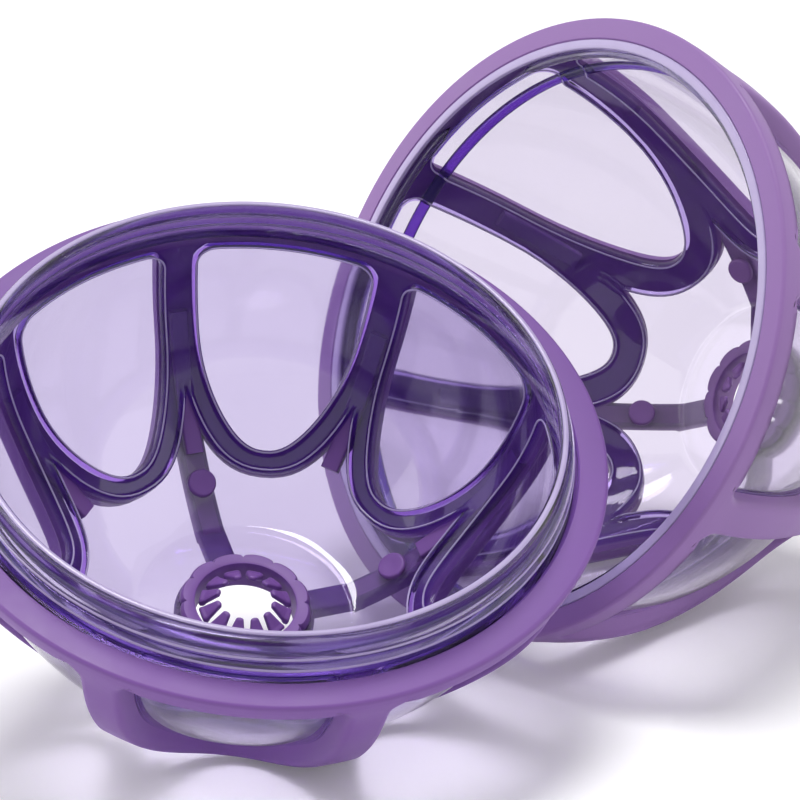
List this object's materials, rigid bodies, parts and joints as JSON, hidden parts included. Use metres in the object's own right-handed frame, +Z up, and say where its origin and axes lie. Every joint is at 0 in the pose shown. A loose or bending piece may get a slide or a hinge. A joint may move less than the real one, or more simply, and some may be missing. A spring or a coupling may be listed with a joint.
{
  "type": "treat dispensing ball",
  "caption": "Egg-shaped treat dispensing ball, unscrewed into bowl and lid: clear lavender shells in soft purple ribs, with a fingered outlet at each end.",
  "frame": {"origin": "on the floor, under the middle of the whole object's box", "axes": "+Z up; +X along the longest side, to the right in the picture; +Y away from the camera"},
  "size_m": [0.1661, 0.1581, 0.1084],
  "materials": {
    "clear_lavender": "clear glossy hard plastic with a lavender tint",
    "soft_purple": "satin soft-touch purple rubber, slightly translucent at thin edges"
  },
  "bodies": {
    "bowl": {"bowl_shell": "clear_lavender", "bowl_rim_band": "soft_purple", "bowl_rib_cage": "soft_purple", "bowl_inner_strips": "soft_purple", "bowl_lock_studs": "soft_purple", "bowl_outlet_ring": "soft_purple"},
    "lid": {"lid_shell": "clear_lavender", "lid_rim_band": "soft_purple", "lid_rib_cage": "soft_purple", "lid_inner_strips": "soft_purple", "lid_lock_studs": "soft_purple", "lid_outlet_ring": "soft_purple"},
    "bowl_finger_1": {"bowl_finger_1": "soft_purple"},
    "bowl_finger_2": {"bowl_finger_2": "soft_purple"},
    "bowl_finger_3": {"bowl_finger_3": "soft_purple"},
    "bowl_finger_4": {"bowl_finger_4": "soft_purple"},
    "bowl_finger_5": {"bowl_finger_5": "soft_purple"},
    "bowl_finger_6": {"bowl_finger_6": "soft_purple"},
    "bowl_finger_7": {"bowl_finger_7": "soft_purple"},
    "bowl_finger_8": {"bowl_finger_8": "soft_purple"},
    "bowl_finger_9": {"bowl_finger_9": "soft_purple"},
    "bowl_finger_10": {"bowl_finger_10": "soft_purple"},
    "bowl_finger_11": {"bowl_finger_11": "soft_purple"},
    "bowl_finger_12": {"bowl_finger_12": "soft_purple"},
    "lid_finger_1": {"lid_finger_1": "soft_purple"},
    "lid_finger_2": {"lid_finger_2": "soft_purple"},
    "lid_finger_3": {"lid_finger_3": "soft_purple"},
    "lid_finger_4": {"lid_finger_4": "soft_purple"},
    "lid_finger_5": {"lid_finger_5": "soft_purple"},
    "lid_finger_6": {"lid_finger_6": "soft_purple"},
    "lid_finger_7": {"lid_finger_7": "soft_purple"},
    "lid_finger_8": {"lid_finger_8": "soft_purple"},
    "lid_finger_9": {"lid_finger_9": "soft_purple"},
    "lid_finger_10": {"lid_finger_10": "soft_purple"},
    "lid_finger_11": {"lid_finger_11": "soft_purple"},
    "lid_finger_12": {"lid_finger_12": "soft_purple"}
  },
  "joints": [
    {"name": "lid_twist", "type": "hinge", "parent": "bowl", "child": "lid", "pos_m": [0.0199, 0.0186, 0.05695], "axis": [-0.7034, -0.5656, 0.4305], "range_deg": [0, 98]},
    {"name": "bowl_finger_1_bend", "type": "hinge", "parent": "bowl", "child": "bowl_finger_1", "pos_m": [-0.02731, -0.0034, 0.01724], "axis": [0.7438, -0.538, -0.3967], "range_deg": [-20, 60], "stiffness_Nm_per_rad": 0.0001},
    {"name": "bowl_finger_2_bend", "type": "hinge", "parent": "bowl", "child": "bowl_finger_2", "pos_m": [-0.03077, -0.00209, 0.01848], "axis": [0.9707, -0.1102, -0.2138], "range_deg": [-20, 60], "stiffness_Nm_per_rad": 0.0001},
    {"name": "bowl_finger_3_bend", "type": "hinge", "parent": "bowl", "child": "bowl_finger_3", "pos_m": [-0.03462, -0.00257, 0.01886], "axis": [0.9375, 0.3471, 0.0265], "range_deg": [-20, 60], "stiffness_Nm_per_rad": 0.0001},
    {"name": "bowl_finger_4_bend", "type": "hinge", "parent": "bowl", "child": "bowl_finger_4", "pos_m": [-0.03783, -0.00471, 0.01828], "axis": [0.6531, 0.7114, 0.2596], "range_deg": [-20, 60], "stiffness_Nm_per_rad": 0.0001},
    {"name": "bowl_finger_5_bend", "type": "hinge", "parent": "bowl", "child": "bowl_finger_5", "pos_m": [-0.03954, -0.00793, 0.0169], "axis": [0.1937, 0.8851, 0.4232], "range_deg": [-20, 60], "stiffness_Nm_per_rad": 0.0001},
    {"name": "bowl_finger_6_bend", "type": "hinge", "parent": "bowl", "child": "bowl_finger_6", "pos_m": [-0.03929, -0.01137, 0.01509], "axis": [-0.3176, 0.8216, 0.4733], "range_deg": [-20, 60], "stiffness_Nm_per_rad": 0.0001},
    {"name": "bowl_finger_7_bend", "type": "hinge", "parent": "bowl", "child": "bowl_finger_7", "pos_m": [-0.03715, -0.01412, 0.01333], "axis": [-0.7438, 0.538, 0.3967], "range_deg": [-20, 60], "stiffness_Nm_per_rad": 0.0001},
    {"name": "bowl_finger_8_bend", "type": "hinge", "parent": "bowl", "child": "bowl_finger_8", "pos_m": [-0.03369, -0.01542, 0.0121], "axis": [-0.9707, 0.1102, 0.2138], "range_deg": [-20, 60], "stiffness_Nm_per_rad": 0.0001},
    {"name": "bowl_finger_9_bend", "type": "hinge", "parent": "bowl", "child": "bowl_finger_9", "pos_m": [-0.02984, -0.01495, 0.01172], "axis": [-0.9375, -0.3471, -0.0265], "range_deg": [-20, 60], "stiffness_Nm_per_rad": 0.0001},
    {"name": "bowl_finger_10_bend", "type": "hinge", "parent": "bowl", "child": "bowl_finger_10", "pos_m": [-0.02663, -0.01281, 0.0123], "axis": [-0.6531, -0.7114, -0.2596], "range_deg": [-20, 60], "stiffness_Nm_per_rad": 0.0001},
    {"name": "bowl_finger_11_bend", "type": "hinge", "parent": "bowl", "child": "bowl_finger_11", "pos_m": [-0.02492, -0.00959, 0.01368], "axis": [-0.1937, -0.8851, -0.4232], "range_deg": [-20, 60], "stiffness_Nm_per_rad": 0.0001},
    {"name": "bowl_finger_12_bend", "type": "hinge", "parent": "bowl", "child": "bowl_finger_12", "pos_m": [-0.02517, -0.00614, 0.01549], "axis": [0.3176, -0.8216, -0.4733], "range_deg": [-20, 60], "stiffness_Nm_per_rad": 0.0001},
    {"name": "lid_finger_1_bend", "type": "hinge", "parent": "lid", "child": "lid_finger_1", "pos_m": [0.06804, 0.05142, 0.03587], "axis": [0.2929, -0.7825, -0.5495], "range_deg": [-20, 60], "stiffness_Nm_per_rad": 0.0001},
    {"name": "lid_finger_2_bend", "type": "hinge", "parent": "lid", "child": "lid_finger_2", "pos_m": [0.06628, 0.05463, 0.03721], "axis": [0.5775, -0.8079, -0.1178], "range_deg": [-20, 60], "stiffness_Nm_per_rad": 0.0001},
    {"name": "lid_finger_3_bend", "type": "hinge", "parent": "lid", "child": "lid_finger_3", "pos_m": [0.06369, 0.05751, 0.03675], "axis": [0.7073, -0.6168, 0.3454], "range_deg": [-20, 60], "stiffness_Nm_per_rad": 0.0001},
    {"name": "lid_finger_4_bend", "type": "hinge", "parent": "lid", "child": "lid_finger_4", "pos_m": [0.06095, 0.05928, 0.03461], "axis": [0.6476, -0.2604, 0.7161], "range_deg": [-20, 60], "stiffness_Nm_per_rad": 0.0001},
    {"name": "lid_finger_5_bend", "type": "hinge", "parent": "lid", "child": "lid_finger_5", "pos_m": [0.05881, 0.05947, 0.03136], "axis": [0.4144, 0.1657, 0.8949], "range_deg": [-20, 60], "stiffness_Nm_per_rad": 0.0001},
    {"name": "lid_finger_6_bend", "type": "hinge", "parent": "lid", "child": "lid_finger_6", "pos_m": [0.05783, 0.05803, 0.02787], "axis": [0.0702, 0.5475, 0.8339], "range_deg": [-20, 60], "stiffness_Nm_per_rad": 0.0001},
    {"name": "lid_finger_7_bend", "type": "hinge", "parent": "lid", "child": "lid_finger_7", "pos_m": [0.05828, 0.05534, 0.02508], "axis": [-0.2929, 0.7825, 0.5495], "range_deg": [-20, 60], "stiffness_Nm_per_rad": 0.0001},
    {"name": "lid_finger_8_bend", "type": "hinge", "parent": "lid", "child": "lid_finger_8", "pos_m": [0.06004, 0.05213, 0.02373], "axis": [-0.5775, 0.8079, 0.1178], "range_deg": [-20, 60], "stiffness_Nm_per_rad": 0.0001},
    {"name": "lid_finger_9_bend", "type": "hinge", "parent": "lid", "child": "lid_finger_9", "pos_m": [0.06263, 0.04926, 0.02419], "axis": [-0.7073, 0.6168, -0.3454], "range_deg": [-20, 60], "stiffness_Nm_per_rad": 0.0001},
    {"name": "lid_finger_10_bend", "type": "hinge", "parent": "lid", "child": "lid_finger_10", "pos_m": [0.06537, 0.04749, 0.02634], "axis": [-0.6476, 0.2604, -0.7161], "range_deg": [-20, 60], "stiffness_Nm_per_rad": 0.0001},
    {"name": "lid_finger_11_bend", "type": "hinge", "parent": "lid", "child": "lid_finger_11", "pos_m": [0.06751, 0.0473, 0.02959], "axis": [-0.4144, -0.1657, -0.8949], "range_deg": [-20, 60], "stiffness_Nm_per_rad": 0.0001},
    {"name": "lid_finger_12_bend", "type": "hinge", "parent": "lid", "child": "lid_finger_12", "pos_m": [0.06849, 0.04874, 0.03308], "axis": [-0.0702, -0.5475, -0.8339], "range_deg": [-20, 60], "stiffness_Nm_per_rad": 0.0001}
  ],
  "couplings": [
    {"joint": "bowl_finger_2_bend", "follows": "bowl_finger_1_bend", "ratio": 1},
    {"joint": "bowl_finger_3_bend", "follows": "bowl_finger_1_bend", "ratio": 1},
    {"joint": "bowl_finger_4_bend", "follows": "bowl_finger_1_bend", "ratio": 1},
    {"joint": "bowl_finger_5_bend", "follows": "bowl_finger_1_bend", "ratio": 1},
    {"joint": "bowl_finger_6_bend", "follows": "bowl_finger_1_bend", "ratio": 1},
    {"joint": "bowl_finger_7_bend", "follows": "bowl_finger_1_bend", "ratio": 1},
    {"joint": "bowl_finger_8_bend", "follows": "bowl_finger_1_bend", "ratio": 1},
    {"joint": "bowl_finger_9_bend", "follows": "bowl_finger_1_bend", "ratio": 1},
    {"joint": "bowl_finger_10_bend", "follows": "bowl_finger_1_bend", "ratio": 1},
    {"joint": "bowl_finger_11_bend", "follows": "bowl_finger_1_bend", "ratio": 1},
    {"joint": "bowl_finger_12_bend", "follows": "bowl_finger_1_bend", "ratio": 1},
    {"joint": "lid_finger_2_bend", "follows": "lid_finger_1_bend", "ratio": 1},
    {"joint": "lid_finger_3_bend", "follows": "lid_finger_1_bend", "ratio": 1},
    {"joint": "lid_finger_4_bend", "follows": "lid_finger_1_bend", "ratio": 1},
    {"joint": "lid_finger_5_bend", "follows": "lid_finger_1_bend", "ratio": 1},
    {"joint": "lid_finger_6_bend", "follows": "lid_finger_1_bend", "ratio": 1},
    {"joint": "lid_finger_7_bend", "follows": "lid_finger_1_bend", "ratio": 1},
    {"joint": "lid_finger_8_bend", "follows": "lid_finger_1_bend", "ratio": 1},
    {"joint": "lid_finger_9_bend", "follows": "lid_finger_1_bend", "ratio": 1},
    {"joint": "lid_finger_10_bend", "follows": "lid_finger_1_bend", "ratio": 1},
    {"joint": "lid_finger_11_bend", "follows": "lid_finger_1_bend", "ratio": 1},
    {"joint": "lid_finger_12_bend", "follows": "lid_finger_1_bend", "ratio": 1}
  ]
}
